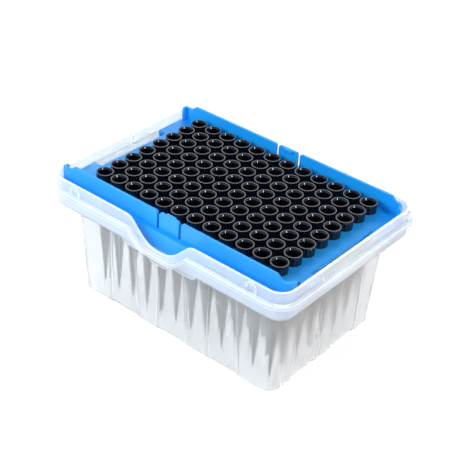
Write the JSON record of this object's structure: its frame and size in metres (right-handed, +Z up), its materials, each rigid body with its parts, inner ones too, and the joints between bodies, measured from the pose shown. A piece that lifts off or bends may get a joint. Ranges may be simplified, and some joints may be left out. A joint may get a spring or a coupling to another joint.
{
  "type": "box of pipette tips",
  "caption": "Open-topped frosted plastic box with a fluted, tapered body and thumb notches, holding a flat perforated tray that is filled with black conical pipette tips.",
  "frame": {"origin": "middle of the container's footprint, on the surface that it stands on", "axes": "+X along the rows of twelve tips, +Y to the long side that the grid of tips sits nearer to, +Z up"},
  "size_m": [0.1362, 0.0986, 0.0655],
  "materials": {
    "container": "frosted, see-through polypropylene",
    "tip_rack": "satin moulded plastic",
    "tips": "glossy black conductive plastic"
  },
  "bodies": {
    "root": {"container": "container", "tip_rack": "tip_rack", "tips_column_01": "tips", "tips_column_02": "tips", "tips_column_03": "tips", "tips_column_04": "tips", "tips_column_05": "tips", "tips_column_06": "tips", "tips_column_07": "tips", "tips_column_08": "tips", "tips_column_09": "tips", "tips_column_10": "tips", "tips_column_11": "tips", "tips_column_12": "tips"}
  },
  "joints": []
}
